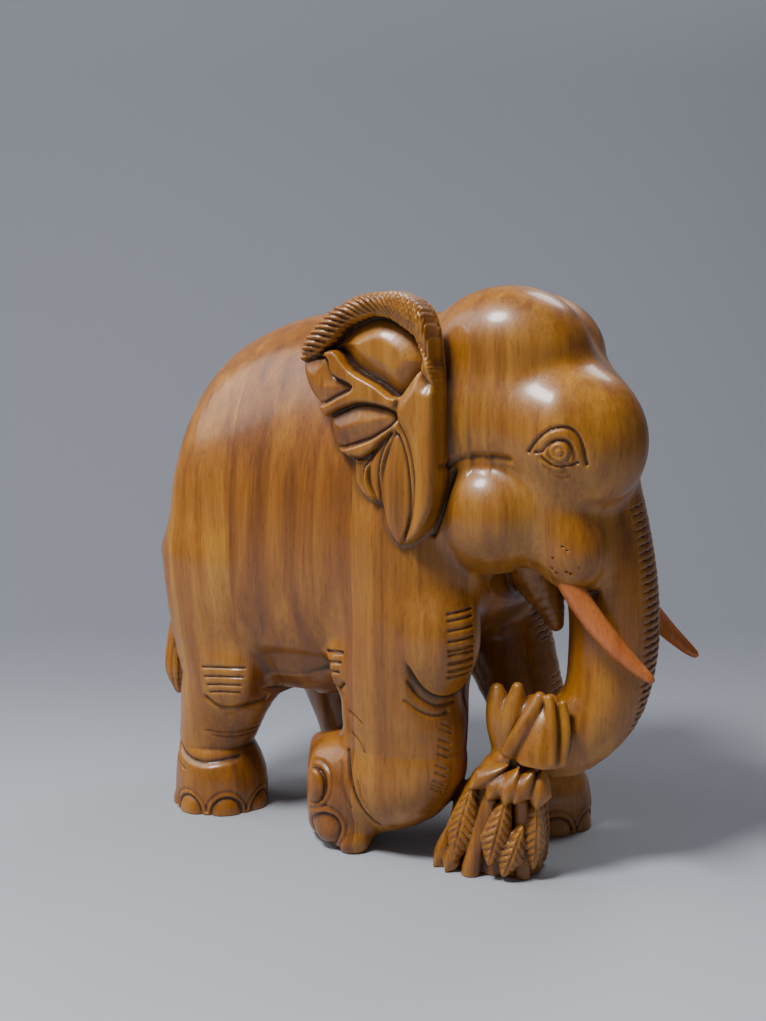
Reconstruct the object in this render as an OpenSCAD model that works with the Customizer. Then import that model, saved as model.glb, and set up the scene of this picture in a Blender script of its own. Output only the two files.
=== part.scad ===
// Walking elephant carved from a glued-up block of four hardwood boards, with two set-in tusks.
// +X is the way it walks, +Z is up, and the origin lies on the floor under the middle of the carving.

/* [Overall] */
// Length from the rump to the tip of the tusks
length = 294; // [240:1:350]
// Width across the ears and the flanks
width = 150; // [120:1:180]
// Height from the floor to the crown
height = 290; // [240:1:350]

/* [Boards] */
// Glue line behind the belly, from the middle of the carving
tail_joint = -77; // [-85:1:-65]
// Glue line at the elbow
middle_joint = 0; // [-10:1:12]
// Glue line behind the trunk
face_joint = 96; // [95:1:102]

/* [Legs] */
// Radius of a leg above its foot
ankle_r = 21; // [17:0.5:25]
// Radius of a foot at the floor
foot_r = 26; // [21:0.5:31]
// Height of a foot up to the ankle fold
foot_h = 34; // [26:1:42]

/* [Head] */
// Radius of the trunk below the tusks
trunk_r = 22; // [18:0.5:25]
// Thickness of an ear's blade
ear_t = 9; // [7:0.5:13]
// Radius of the rolled rim of an ear
ear_rim_r = 8; // [6:0.5:10]

/* [Tusks] */
// Radius of the round root of a tusk
tusk_r = 6; // [4.5:0.25:7.5]
// Straight distance from the socket's mouth to the tip
tusk_reach = 57; // [42:1:72]
// Turn of the tusk from its root to its tip, in degrees
tusk_bend = 24; // [10:1:45]
// Depth of the drilled socket
socket_depth = 20; // [12:1:24]
// Radial clearance of the root in its socket
socket_gap = 0.1; // [0.05:0.05:0.4]

/* [Hidden] */

// The stations below are places in a carving 294 long, 150 wide and 290 high
stretch = [length / 294, width / 150, height / 290];
sides = 22;          // points in the ring of a large form
fine_sides = 14;     // points in the ring of a small form
face_y = -5;         // the head turns slightly to its right
tusk_mouth = [105, 32, 142];   // mouth of a socket, with y from the middle of the face
tusk_start = -56;    // direction of the root, in degrees above the walking direction
wood_dark = "#8a5426";
wood_mid = "#a5692d";
wood_pale = "#b9783a";
tusk_red = "#c87846";

function place(p) = [p.x * stretch.x, p.y * stretch.y, p.z * stretch.z];
function unit(v) = v / norm(v);
function spline(a, b, c, d, t) =
    0.5 * (2 * b + (c - a) * t + (2 * a - 5 * b + 4 * c - d) * t * t + (3 * b - 3 * c + d - a) * t * t * t);

// Stations are [x, y, z, half width across y, half depth]; extra ones are put between them
function refined(st, k) = let(m = len(st) - 1) [
    for (i = [0 : m - 1]) for (j = [0 : k - 1])
        spline(st[max(i - 1, 0)], st[i], st[i + 1], st[min(i + 2, m)], j / k),
    st[m]
];
function spot(s) = place([s[0], s[1], s[2]]);
function along(st, i, way) = is_undef(way)
    ? unit(spot(st[min(i + 1, len(st) - 1)]) - spot(st[max(i - 1, 0)]))
    : way;

// One ring of a limb: across it runs near Y, and its depth runs square to its path
function ring(c, way, ry, rz, n) =
    let(deep = unit(cross(way, [0, 1, 0])), wide = cross(deep, way))
    [for (j = [0 : n - 1]) c + ry * cos(360 * j / n) * wide + rz * sin(360 * j / n) * deep];

// Rings of a limb with a dome of the given share of its radius at each end
function limb_rings(st, n, head, tail, way) =
    let(m = len(st) - 1, a = along(st, 0, way), b = along(st, m, way)) concat(
        [for (t = [80, 55, 28]) if (head > 0)
            ring(spot(st[0]) - a * st[0][4] * head * sin(t), a, st[0][3] * cos(t), st[0][4] * cos(t), n)],
        [for (i = [0 : m]) ring(spot(st[i]), along(st, i, way), st[i][3], st[i][4], n)],
        [for (t = [28, 55, 80]) if (tail > 0)
            ring(spot(st[m]) + b * st[m][4] * tail * sin(t), b, st[m][3] * cos(t), st[m][4] * cos(t), n)]);

module skin(rings) {
    n = len(rings[0]);
    m = len(rings);
    polyhedron(
        [for (r = rings) each r],
        concat(
            [[for (j = [0 : n - 1]) j]],
            [for (i = [0 : m - 2]) for (j = [0 : n - 1]) let(a = i * n + j, b = i * n + (j + 1) % n)
                each [[a, a + n, b], [b, a + n, b + n]]],
            [[for (j = [n - 1 : -1 : 0]) (m - 1) * n + j]]));
}

// A limb through its stations; head and tail are the domes at its first and last station,
// and way squares every ring to one direction instead of the limb's own path
module limb(st, n = sides, k = 2, head = 0.5, tail = 0.5, way = undef) {
    skin(limb_rings(refined(st, k), n, head, tail, way));
}

module lump(c, r, turn = 0) {
    translate(place(c)) rotate([0, turn, 0]) scale([r.x * stretch.x, r.y * stretch.y, r.z * stretch.z])
        sphere(1, $fn = sides);
}

// Toenails around a foot that stands on the floor, at the given angles from the walking direction
module nails(foot, angles) {
    for (a = angles) translate(place(foot) + [(foot_r - 3) * cos(a), (foot_r - 3) * sin(a), foot_h / 4])
        scale([5, 5, foot_h / 4]) sphere(1, $fn = 10);
}

module torso() {
    barrel = [
        [-144, 0, 153, 34, 34], [-139, 0, 156, 50, 56], [-130, 0, 162, 61, 74], [-116, 0, 168, 67, 89],
        [-95, 0, 171, 70, 98], [-60, 0, 172, 71, 107], [-20, 0, 176, 70, 102], [20, 0, 187, 66, 90],
        [52, 0, 197, 56, 78]];
    limb([for (s = barrel) [s[0], s[1], s[2], s[3] * stretch.y, s[4] * stretch.z]],
        n = sides + 6, head = 0.08, tail = 0.3, way = [1, 0, 0]);
}

// Straight hind leg under the hip
module right_hind_leg() {
    limb([
        [-99, -38, 142, 30 * stretch.y, 44 * stretch.x], [-106, -38, 102, 29 * stretch.y, 34 * stretch.x],
        [-111, -38, 72, ankle_r + 4, ankle_r + 6], [-114, -39, foot_h + 12, ankle_r, ankle_r + 1],
        [-113, -39, foot_h, ankle_r, ankle_r + 1], [-111, -39, foot_h / 2, foot_r, foot_r + 1],
        [-111, -39, 0, foot_r, foot_r + 1]], tail = 0);
    nails([-111, -39, 0], [-150, -105, -60, -15]);
}

module left_hind_leg() {
    limb([
        [-94, 38, 142, 30 * stretch.y, 40 * stretch.x], [-87, 38, 102, 27 * stretch.y, 31 * stretch.x],
        [-73, 38, 70, ankle_r + 1, ankle_r + 3], [-62, 37, foot_h + 12, ankle_r, ankle_r],
        [-56, 37, foot_h, ankle_r, ankle_r], [-50, 37, foot_h / 2, foot_r - 1, foot_r - 1],
        [-49, 37, 0, foot_r - 1, foot_r - 1]], tail = 0);
    nails([-49, 37, 0], [-45, 0, 45, 90]);
}

// Lifted foreleg: straight down to the wrist, then back to a foot that rests on its toe
module right_fore_leg() {
    limb([
        [15, -42, 162, 26 * stretch.y, 40 * stretch.x], [18, -44, 123, 28 * stretch.y, 37 * stretch.x],
        [17, -45, 90, ankle_r + 6, ankle_r + 13], [16, -45, 58, ankle_r + 4, ankle_r + 11],
        [16, -45, 44, ankle_r + 1, ankle_r + 6]], tail = 0.7);
    limb([
        [34, -46, 46, ankle_r + 1, ankle_r - 5], [14, -47, 37, ankle_r + 4, ankle_r + 3],
        [-8, -47, 29, foot_r, foot_r + 6], [-24, -47, 28, foot_r - 1, foot_r + 3]], head = 0.8, tail = 0.5);
}

module left_fore_leg() {
    limb([
        [12, 40, 157, 24 * stretch.y, 36 * stretch.x], [22, 40, 121, 26 * stretch.y, 32 * stretch.x],
        [36, 37, 90, ankle_r + 2, ankle_r + 5], [49, 34, 60, ankle_r, ankle_r + 1],
        [57, 31, foot_h + 8, ankle_r, ankle_r], [60, 30, foot_h / 2, foot_r - 1, foot_r - 1],
        [60, 30, 0, foot_r - 1, foot_r - 1]], tail = 0);
    nails([60, 30, 0], [-60, -15, 30, 75]);
}

module skull() {
    for (s = [-1, 1]) {
        lump([60 - s * 3, face_y + s * 20, 251], [43, 31, 37]);
        lump([90 - s * 8, face_y + s * 19, 212], [36, 31, 38]);
        lump([60 - s * 3, face_y + s * 34, 179], [30, 27, 31]);
        lump([98 - s * 2, face_y + s * 26, 161], [18, 15, 24], -20);
        lump([97 - s * 8, face_y + s * 49, 209], [7, 3, 6]);
    }
    lump([70, face_y, 222], [52, 44, 52]);
    limb([[66, face_y, 158, 20, 20], [74, face_y, 138, 13, 13], [80, face_y, 122, 7, 7]], n = fine_sides);
}

module trunk() {
    limb([
        [94, face_y, 200, 30, 28], [106, face_y, 168, 26, 26], [112, face_y, 138, trunk_r + 1, trunk_r + 1],
        [113, face_y, 108, trunk_r, trunk_r], [109, -10, 80, trunk_r - 1, trunk_r - 1],
        [93, -20, 63, trunk_r - 3, trunk_r - 3], [75, -27, 67, trunk_r - 6, trunk_r - 7],
        [65, -29, 80, trunk_r - 8, trunk_r - 10]], k = 3, tail = 0.6);
}

// Spray of leaves held in the curl of the trunk, hanging to the floor
module leaf_spray() {
    limb([
        [82, -32, 80, 14, 11], [80, -36, 62, 16, 15], [73, -38, 44, 18, 22], [65, -39, 20, 20, 28],
        [64, -39, 0, 20, 28]], n = fine_sides, tail = 0);
}

function ear_edge(k) = let(p = [
    [-29, 254], [-22, 266], [-8, 277], [10, 283], [30, 283], [44, 272], [48, 242], [48, 207], [46, 182],
    [38, 169], [28, 163], [19, 171], [8, 185], [-6, 204], [-15, 222], [-26, 240]], n = len(p))
    [for (i = [0 : n - 1]) for (j = [0 : k - 1])
        spline(p[(i + n - 1) % n], p[i], p[(i + 1) % n], p[(i + 2) % n], j / k)];

module ear(side) {
    face = side * (width / 2 - ear_t);
    scale([stretch.x, 1, stretch.z]) translate([0, face, 0])
        rotate([90, 0, 0]) translate([0, 0, -ear_t])
            linear_extrude(2 * ear_t) polygon(ear_edge(2));
    rim = [for (i = [0 : 4]) ear_edge(1)[i]];
    limb([for (p = rim) [p.x + 2, face / stretch.y, p.y - ear_rim_r, ear_rim_r, ear_rim_r]],
        n = fine_sides, head = 0.8, tail = 0.8);
}

module tail() {
    limb([
        [-134, -10, 214, 6, 8], [-143, -20, 182, 5, 6], [-143, -33, 142, 4, 4.5], [-139, -44, 104, 4, 4.5],
        [-135, -47, 80, 6, 7], [-131, -48, 66, 4, 4]], n = fine_sides);
}

// Mouth of a tusk's socket, on the right for side -1 and on the left for side 1
function tusk_mouth_at(side) = place([tusk_mouth.x, face_y + side * tusk_mouth.y, tusk_mouth.z]);

module at_socket(side) {
    translate(tusk_mouth_at(side)) rotate([0, 90 - tusk_start, 0]) children();
}

// Curve of a tusk in its own frame: +Z leaves the socket and the tip turns up towards +X
module tusk_curve(swell = 0) {
    bend_r = tusk_reach / 2 / sin(tusk_bend / 2);
    shares = [1, 1, 0.99, 0.95, 0.87, 0.74, 0.56, 0.34, 0.12];
    m = len(shares) - 1;
    skin([for (i = [0 : m]) let(
        t = tusk_bend * i / m,
        c = [-bend_r * (1 - cos(t)), 0, bend_r * sin(t)],
        way = [-sin(t), 0, cos(t)])
        ring(c, way, (tusk_r - 0.3) * shares[i] + swell, (tusk_r - 0.3) * shares[i] + swell, fine_sides)]);
}

module tusk(side) {
    at_socket(side) {
        translate([0, 0, -socket_depth]) cylinder(r = tusk_r, h = socket_depth + 1);
        tusk_curve();
    }
}

// The whole carving before it is told apart into its boards
module carving() {
    difference() {
        union() {
            torso();
            right_hind_leg();
            left_hind_leg();
            right_fore_leg();
            left_fore_leg();
            skull();
            trunk();
            leaf_spray();
            ear(-1);
            ear(1);
            tail();
        }
        translate([-length, -width, -height]) cube([2 * length, 2 * width, height]);
        for (side = [-1, 1]) at_socket(side) tusk_curve(swell = 1);
    }
}

// One board of the block between two glue lines, which move with the length
module board(from, to) {
    resize([0, 0, 0]) intersection() {
        carving();
        translate([from * stretch.x, -width, -1]) cube([(to - from) * stretch.x, 2 * width, height + 20]);
    }
}

// A board that the tusks' sockets are drilled into, once the block is glued up
module drilled_board(from, to) {
    difference() {
        board(from, to);
        for (side = [-1, 1]) at_socket(side)
            translate([0, 0, -socket_depth]) cylinder(r = tusk_r + socket_gap, h = socket_depth + 2 * tusk_r);
    }
}

module tail_board() color(wood_mid) board(-length, tail_joint);

module belly_board() color(wood_dark) board(tail_joint, middle_joint);

module shoulder_board() color(wood_pale) drilled_board(middle_joint, face_joint);

module face_board() color(wood_mid) drilled_board(face_joint, length);

module right_tusk() color(tusk_red) tusk(-1);

module left_tusk() color(tusk_red) tusk(1);

tail_board();
belly_board();
shoulder_board();
face_board();
right_tusk();
left_tusk();
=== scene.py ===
import math

import bpy
import numpy as np
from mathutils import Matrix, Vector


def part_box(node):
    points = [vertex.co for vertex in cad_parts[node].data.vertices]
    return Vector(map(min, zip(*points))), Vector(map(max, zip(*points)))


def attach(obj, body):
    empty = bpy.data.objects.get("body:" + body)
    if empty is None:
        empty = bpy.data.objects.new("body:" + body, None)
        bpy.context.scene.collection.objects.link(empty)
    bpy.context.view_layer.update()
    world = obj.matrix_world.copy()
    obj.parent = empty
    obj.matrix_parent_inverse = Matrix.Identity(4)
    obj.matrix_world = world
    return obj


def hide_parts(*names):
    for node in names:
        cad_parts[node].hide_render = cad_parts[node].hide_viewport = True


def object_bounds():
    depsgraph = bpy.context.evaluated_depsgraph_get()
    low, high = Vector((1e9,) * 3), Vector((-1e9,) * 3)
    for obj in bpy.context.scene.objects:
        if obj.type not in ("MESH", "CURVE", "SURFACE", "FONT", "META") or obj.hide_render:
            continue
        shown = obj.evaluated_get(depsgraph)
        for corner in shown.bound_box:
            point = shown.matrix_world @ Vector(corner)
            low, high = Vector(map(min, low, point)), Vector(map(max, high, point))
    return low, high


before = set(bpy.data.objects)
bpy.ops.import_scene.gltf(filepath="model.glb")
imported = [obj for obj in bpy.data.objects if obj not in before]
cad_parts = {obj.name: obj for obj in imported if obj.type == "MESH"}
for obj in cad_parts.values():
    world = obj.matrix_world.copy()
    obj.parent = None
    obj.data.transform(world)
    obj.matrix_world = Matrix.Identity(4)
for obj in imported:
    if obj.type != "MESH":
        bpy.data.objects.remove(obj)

import openvdb

cadLow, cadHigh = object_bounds()
carving = {
    "height": 287.6,     # design height in mm, which ties every length below to the frame
    "voxel": 0.8,   # mm, the finest cut that the chisel leaves
    "air": 5,            # mm of empty space kept round the block
    "faceMiddle": -5,    # the head turns a little to its right
}
mm = (cadHigh.z - cadLow.z) / carving["height"]
voxel = carving["voxel"]


# the block: distances to the carved surface in mm, negative inside the wood

blockLow = np.array(cadLow) / mm - carving["air"]
blockSize = np.ceil((np.array(cadHigh) / mm + carving["air"] - blockLow) / voxel).astype(int)
gridX, gridY, gridZ = (blockLow[i] + voxel * np.arange(blockSize[i]) for i in range(3))
wood = np.full(tuple(blockSize), 12, np.float32)


def window(low, high):
    spans = []
    for line, a, b in zip((gridX, gridY, gridZ), low, high):
        spans.append(slice(int(np.searchsorted(line, a)), int(np.searchsorted(line, b))))
    x, y, z = (line[s].astype(np.float32) for line, s in zip((gridX, gridY, gridZ), spans))
    return tuple(spans), x[:, None, None], y[None, :, None], z[None, None, :]


def meld(a, b, melt):   # soft union of two distances over melt mm
    share = np.clip(0.5 + 0.5 * (b - a) / melt, 0, 1)
    return b + (a - b) * share - melt * share * (1 - share)


def add(form, low, high, melt=4):
    part, x, y, z = window(np.array(low) - melt - 4, np.array(high) + melt + 4)
    wood[part] = meld(wood[part], form(x, y, z), melt)


def cut(form, low, high, melt=1):
    part, x, y, z = window(np.array(low) - melt - 2, np.array(high) + melt + 2)
    wood[part] = -meld(-wood[part], form(x, y, z), melt)


def curve(points, steps, closed=False):   # evenly numbered points on a smooth line through the given ones
    p = np.array(points, float)
    count = len(p)
    out = []
    for i in range(count if closed else count - 1):
        a, b, c, d = (p[j % count] if closed else p[min(max(j, 0), count - 1)] for j in range(i - 1, i + 3))
        for t in np.arange(steps) / steps:
            out.append(0.5 * (2 * b + (c - a) * t + (2 * a - 5 * b + 4 * c - d) * t ** 2
                              + (3 * b - 3 * c + d - a) * t ** 3))
    return np.array(out if closed else out + [p[-1]])


def unit(v):
    return np.array(v, float) / np.linalg.norm(v)


def ball(centre, radii, pitch=0, yaw=0):
    c, s = math.cos(math.radians(pitch)), math.sin(math.radians(pitch))
    cy, sy = math.cos(math.radians(yaw)), math.sin(math.radians(yaw))

    def form(x, y, z):
        u, v, w = x - centre[0], y - centre[1], z - centre[2]
        u, v = u * cy + v * sy, v * cy - u * sy
        u, w = u * c - w * s, w * c + u * s
        near = np.sqrt((u / radii[0]) ** 2 + (v / radii[1]) ** 2 + (w / radii[2]) ** 2)
        far = np.sqrt((u / radii[0] ** 2) ** 2 + (v / radii[1] ** 2) ** 2 + (w / radii[2] ** 2) ** 2)
        return near * (near - 1) / np.maximum(far, 1e-5)
    return form


def addBall(centre, radii, melt=4, pitch=0, yaw=0):
    reach = max(radii)
    add(ball(centre, radii, pitch, yaw), np.array(centre) - reach, np.array(centre) + reach, melt)


def limb(stations, marks=None, steps=3):   # stations are x, y, z, half width across, half depth
    path = curve(stations, steps)
    lengths = np.linalg.norm(np.diff(path[:, :3], axis=0), axis=1)
    starts = np.concatenate([[0], np.cumsum(lengths)])

    def form(x, y, z):
        best = travel = sideways = inward = None
        for i, length in enumerate(lengths):
            a, b = path[i], path[i + 1]
            way = unit(b[:3] - a[:3])
            deep = unit(np.cross(way, (0, 1, 0)))
            wide = np.cross(deep, way)
            gx, gy, gz = x - a[0], y - a[1], z - a[2]
            t = np.clip((gx * way[0] + gy * way[1] + gz * way[2]) / length, 0, 1)
            gx, gy, gz = (g - t * length * w for g, w in zip((gx, gy, gz), way))
            along, side, depth = (gx * v[0] + gy * v[1] + gz * v[2] for v in (way, wide, deep))
            across, thick = a[3] + (b[3] - a[3]) * t, a[4] + (b[4] - a[4]) * t
            side, depth = side / across, depth / thick
            ratio = np.sqrt(side ** 2 + depth ** 2 + (along / np.minimum(across, thick)) ** 2)
            d = np.sqrt(gx ** 2 + gy ** 2 + gz ** 2) * (1 - 1 / np.maximum(ratio, 1e-3))
            if best is None:
                best, travel, sideways, inward = d, starts[i] + t * length, side, depth
            else:
                closer = d < best
                best = np.where(closer, d, best)
                if marks:
                    travel = np.where(closer, starts[i] + t * length, travel)
                    sideways, inward = np.where(closer, side, sideways), np.where(closer, depth, inward)
        return best + marks(travel / starts[-1], sideways, inward) if marks else best
    return form


def addLimb(stations, melt=4, marks=None, steps=3):
    s = np.array(stations, float)
    reach = s[:, 3:].max()
    add(limb(stations, marks, steps), s[:, :3].min(0) - reach, s[:, :3].max(0) + reach, melt)


def lineDistance(u, v, lines):   # to the nearest of several drawn lines, in mm
    best = None
    for line in lines:
        for a, b in zip(line[:-1], line[1:]):
            du, dv = b[0] - a[0], b[1] - a[1]
            t = np.clip(((u - a[0]) * du + (v - a[1]) * dv) / (du * du + dv * dv + 1e-9), 0, 1)
            d = (u - a[0] - t * du) ** 2 + (v - a[1] - t * dv) ** 2
            best = d if best is None else np.minimum(best, d)
    return np.sqrt(best)


def outlineDistance(u, v, outline):   # negative inside a closed outline
    closed = list(outline) + [outline[0]]
    inside = np.zeros(np.broadcast(u, v).shape, bool)
    for a, b in zip(closed[:-1], closed[1:]):
        crosses = (a[1] > v) != (b[1] > v)
        rise = b[1] - a[1] if b[1] != a[1] else 1e-9
        inside ^= crosses & (u < (b[0] - a[0]) * (v - a[1]) / rise + a[0])
    return np.where(inside, -1, 1) * lineDistance(u, v, [closed])


def pulse(phase, duty):   # one rounded cut per unit of phase
    return np.clip(1 - np.abs((phase % 1) - 0.5) / (0.5 * duty), 0, 1)


def smoothStep(value, start, end):
    t = np.clip((value - start) / (end - start), 0, 1)
    return t * t * (3 - 2 * t)


def engrave(lines, depth, width, side, reach, look=0, bevel=1.0):
    # cuts drawn as x, z on one side of the carving, made square to a direction look degrees from sideways
    c, s = math.cos(math.radians(look)), math.sin(math.radians(look))
    lines = [np.array(line, float) for line in lines]
    drawn = np.concatenate(lines)
    inner, outer = reach
    yLow, yHigh = (-outer, -inner) if side < 0 else (inner, outer)
    lean = abs(s) * (outer - inner) / max(c, 0.3)
    part, x, y, z = window(
        (drawn[:, 0].min() - width * 2 - lean, yLow, drawn[:, 1].min() - width * 2),
        (drawn[:, 0].max() + width * 2 + lean, yHigh, drawn[:, 1].max() + width * 2))
    middle = 0.5 * (inner + outer) * side
    u = x - side * (y - middle) * s / c   # slides the drawing along the cutting direction
    d = lineDistance(u, z, lines)
    wood[part] += depth * np.clip(1 - d / width, 0, 1) ** bevel


# body

body = {
    # stations: x, y, z of the middle, half width, half height
    "barrel": [(-143.5, 0, 151, 6, 8), (-140.5, 0, 153, 33, 36), (-135, 0, 156, 48.5, 56),
               (-127, 0, 161, 60, 72), (-115, 0, 167, 66, 87), (-95, 0, 170, 69, 98),
               (-60, 0, 171.5, 71, 106.5), (-20, 0, 175.5, 70, 102.5), (20, 0, 187, 66, 90),
               (52, 0, 197, 56, 78), (60, 0, 198, 50, 70)],
    "backRound": 2.15,   # power of the section above its middle
    "flankSquare": 2.7,  # and below it, where the flanks stay full
}


def barrelForm(x, y, z):
    line = curve(body["barrel"], 4)
    px = x[:, 0, 0]
    middle, across, tall = (np.interp(px, line[:, 0], line[:, k])[:, None, None].astype(np.float32)
                            for k in (2, 3, 4))
    side, up = np.abs(y) / across, (z - middle) / tall
    power = np.where(up > 0, body["backRound"], body["flankSquare"]).astype(np.float32)
    ratio = (side ** power + np.abs(up) ** power) ** (1 / power)
    reach = np.sqrt(y ** 2 + (z - middle) ** 2)
    d = reach * (1 - 1 / np.maximum(ratio, 0.02))
    slope = np.sqrt(sum(g ** 2 for g in np.gradient(d, voxel)))
    d = d / np.maximum(slope, 1)
    return np.maximum(d, np.maximum(line[0, 0] - x, x - line[-1, 0]))


add(barrelForm, (-147, -72, 60), (60, 72, 284), 6)
print("body roughed out")

legs = {
    "rightHind": [(-99, -38, 142, 31, 44), (-102, -38, 102, 29, 36), (-101.5, -38, 80, 27, 30),
                  (-105.5, -39, 66, 25, 26.5), (-110, -39, 50, 22.5, 23), (-113.5, -39, 39, 21, 20.8),
                  (-114, -39, 32, 21, 20.5), (-112, -39, 24, 23.8, 23.6), (-110, -39, 15, 25.8, 26.2),
                  (-110, -39, 3, 26, 26.5), (-110, -39, -12, 25.5, 26)],
    "leftHind": [(-94, 38, 142, 30, 40), (-91, 38, 102, 27, 32), (-84, 38, 72, 23, 25),
                 (-75, 37, 48, 21, 20.5), (-71, 37, 38, 20.5, 20), (-69, 37, 32, 20.5, 20.5),
                 (-64, 37, 24, 23.3, 23), (-61, 37, 14, 25, 25), (-60, 37, 3, 25.5, 25.5),
                 (-60, 37, -12, 25, 25)],
    "rightFore": [(15, -42, 162, 27, 40), (18, -44, 123, 28, 37), (16, -45, 90, 27, 35),
                  (16.5, -45, 62, 25, 34), (17, -45, 46, 22, 29)],
    "rightWrist": [(34, -46, 45, 19, 15), (20, -47, 38, 24, 23), (4, -47, 34, 24, 26), (-6, -47, 32, 24, 27)],
    "rightFoot": [(-9, -47, 31, 24, 27), (-18, -47, 28.5, 26, 28.5), (-28, -47, 27, 27, 27),
                  (-36, -47, 26.5, 26.5, 26.5)],
    "rightToe": [(-14, -58, 14, 12, 13), (-4, -62, 5, 9, 8)],    # the corner that rests on the floor
    "leftFore": [(12, 40, 157, 25, 36), (22, 40, 121, 26, 32), (36, 37, 90, 23, 26), (49, 34, 62, 21, 21),
                 (54, 31, 44, 20, 19.5), (57, 30, 33, 21.5, 21), (61, 30, 16, 25, 25),
                 (61, 30, 3, 25.5, 25.5), (61, 30, -12, 25, 25)],
}
addLimb(legs["rightHind"], 12)
addLimb(legs["leftHind"], 12)
addLimb(legs["rightFore"], 10)
addLimb(legs["rightWrist"], 9)
addLimb(legs["rightFoot"], 3)
addLimb(legs["rightToe"], 7)
addBall((35, -50, 114), (25, 21.5, 31), 5)   # shoulder flap
addLimb(legs["leftFore"], 10)
print("legs roughed out")

frontCuts = {
    "pitch": 3.8, "deep": 1.25,    # mm between the cuts, and mm deep
    "wide": 0.4,                   # share of the pitch that a cut takes
    "half": 13, "taper": 7,        # mm to a cut's end, and how much of that fades out
    "rise": 0.14,                  # slope of a cut across the limb
}


def cutDownFront(stations, bands):
    # short level cuts down the front of a limb; each band gives its top and bottom heights
    line = curve(stations, 8)
    line = line[:int(np.argmin(line[:, 2])) + 1][::-1]
    top, bottom = bands[0][0], bands[-1][1]
    middle = np.interp(0.5 * (top + bottom), line[:, 2], line[:, 1])
    half, reach = frontCuts["half"], line[:, 4].max() + 6
    part, x, y, z = window((line[:, 0].min(), middle - half, bottom),
                           (line[:, 0].max() + reach, middle + half, top))
    steps = np.diff(line[:, (0, 2)], axis=0, prepend=line[:1, (0, 2)])
    lengths = np.cumsum(np.linalg.norm(steps, axis=1))
    level = z - frontCuts["rise"] * (y - middle)
    phase = np.interp(level, line[:, 2], lengths).astype(np.float32) / frontCuts["pitch"]
    ahead = smoothStep(x - np.interp(z, line[:, 2], line[:, 0]), 3, 6)
    across = 1 - smoothStep(np.abs(y - middle), half - frontCuts["taper"], half)
    span = sum(smoothStep(z, low, low + 1) * (1 - smoothStep(z, high - 1, high)) for high, low in bands)
    wood[part] += frontCuts["deep"] * pulse(phase, frontCuts["wide"]) * ahead * across * span


# head

head = {
    # x, y, z of the middle, with y from the middle of the face, and the three radii
    "dome": ((58.5, 20, 255), (42, 31, 32.5)),
    "brow": ((91, 20, 212), (36, 31.5, 37)),
    "cheek": ((59, 33.5, 176), (31.5, 28, 29.5)),
    "muzzle": ((100, 27, 161), (17.5, 16, 20.5)),
    "core": ((66, 0, 218), (50, 40, 50)),
    "jaw": ((82, 26, 178), (23, 22, 27)),
    "temple": [(36, 42, 222, 12, 21), (60, 42, 221, 12, 21), (92, 39.5, 216, 13, 20)],
    "lip": [(64, 0, 160, 20, 20), (72, 0, 142, 14, 13), (79, 0, 126, 7, 7), (82, 0, 118, 4, 4)],
    "turn": 3,          # mm that the near half comes forward
    "farEye": 5.2,      # times as far that the far eye and its groove lie back
    "farTemple": 2.6,   # the same for the far temple
}
faceY = carving["faceMiddle"]
addBall((head["core"][0][0], faceY, head["core"][0][2]), head["core"][1], 10)
for side in (-1, 1):
    def at(name, shift=1.0):
        (x, y, z), radii = head[name]
        return (x - side * head["turn"] * shift, faceY + side * y, z), radii
    addBall(*at("dome", 1.5), melt=12)
    back = head["turn"] * head["farTemple"]
    addLimb([(x - side * back / 2 - (back if side > 0 else 0), faceY + side * y, z, a, b)
             for x, y, z, a, b in head["temple"]], 16)
    addBall(*at("brow", 2.6), melt=10)
    addBall(*at("jaw"), melt=10)
    addBall(*at("cheek"), melt=5)
    addBall(*at("muzzle", 0.6), melt=10, pitch=-6)
addLimb([(x, faceY, z, a, b) for x, y, z, a, b in head["lip"]], 4)
print("head roughed out")

trunk = {
    "stations": [(93, -5, 200, 30, 27), (104.5, -5, 168, 26, 24.5), (112, -5, 138, 23, 22.5),
                 (113, -5, 108, 22, 22), (109, -10, 81, 21, 20), (93, -20, 63, 19, 18.5),
                 (78, -27, 64, 16, 14.5), (71, -31, 68, 12.5, 10)],
    "bands": [(183, 66)],                  # heights between which it is cut
    "legBands": [(130, 98), (84, 66)],     # and the far foreleg
}
addLimb(trunk["stations"], 7, steps=4)
cutDownFront(trunk["stations"], trunk["bands"])
cutDownFront(legs["leftFore"], trunk["legBands"])
print("trunk carved")

# ears

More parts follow.
